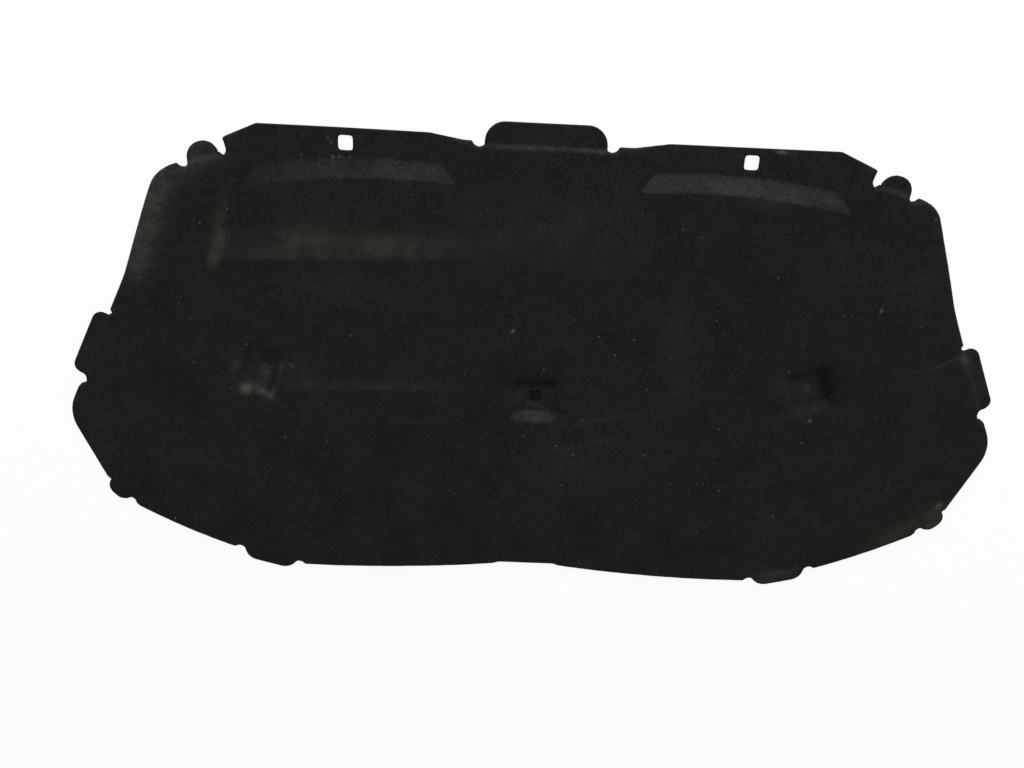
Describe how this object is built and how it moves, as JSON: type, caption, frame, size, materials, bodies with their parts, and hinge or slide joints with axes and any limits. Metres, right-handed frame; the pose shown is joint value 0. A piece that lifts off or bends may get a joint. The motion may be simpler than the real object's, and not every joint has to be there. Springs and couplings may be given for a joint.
{
  "type": "bonnet insulation pad",
  "caption": "Black pressed-felt insulation pad for the underside of a car bonnet, with thin edge tabs, sunk rear strips, washer jet holes and square clip pockets.",
  "frame": {"origin": "middle of the pad's outline, on its flat back", "axes": "+X across the car to the right in the picture, +Y towards the rear edge with the centre tab, +Z out of the engine side"},
  "size_m": [1.1998, 0.621, 0.016],
  "materials": {
    "felt": "matt black non-woven felt, pressed, with dust and lint"
  },
  "bodies": {
    "root": {"insulation_pad": "felt"}
  },
  "joints": []
}
